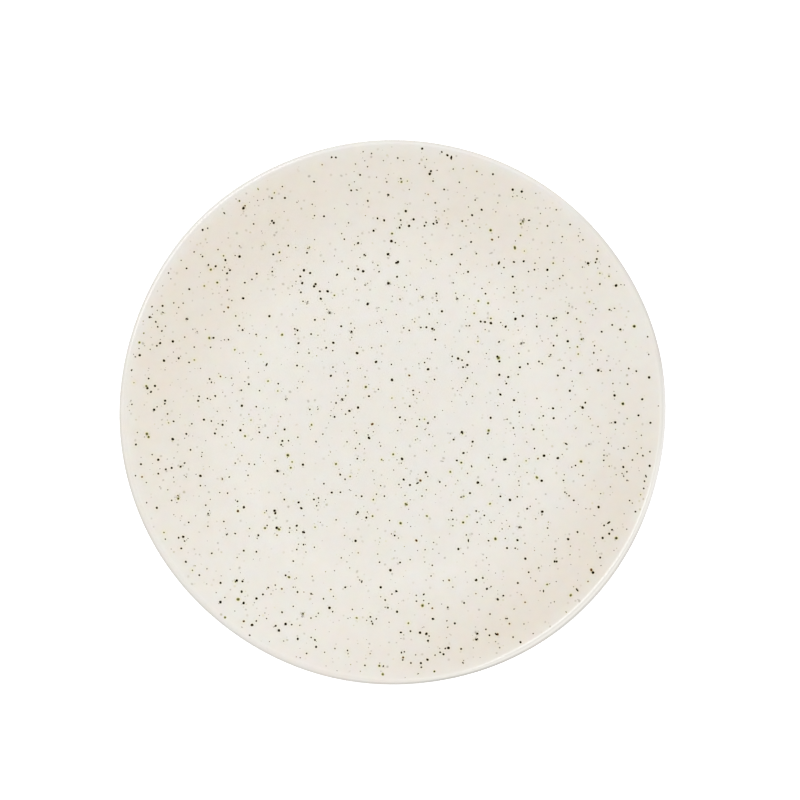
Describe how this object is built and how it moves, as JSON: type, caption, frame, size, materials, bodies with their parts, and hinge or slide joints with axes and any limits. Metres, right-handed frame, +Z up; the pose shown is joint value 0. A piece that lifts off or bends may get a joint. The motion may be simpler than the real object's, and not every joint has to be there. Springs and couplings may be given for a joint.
{
  "type": "side plate",
  "caption": "Round coupe side plate in cream speckled glazed stoneware: a flat well turning up in a soft curve to a thin rounded lip, on a bare foot ring.",
  "frame": {"origin": "centre of the foot ring's resting plane, on the plate's axis", "axes": "+Z up along the axis the plate is turned on; X and Y are free, because the plate is round"},
  "size_m": [0.2, 0.2, 0.0185],
  "materials": {
    "stoneware": "bare fired buff clay, wiped smooth, fine grog grain",
    "cream_glaze": "satin-gloss cream glaze with fine dark brown iron specks",
    "recess_glaze": "the same cream glaze and specks, inside the foot ring"
  },
  "bodies": {
    "root": {"stoneware_body": "stoneware", "glaze_coat": "cream_glaze", "foot_recess_glaze": "recess_glaze"}
  },
  "joints": []
}
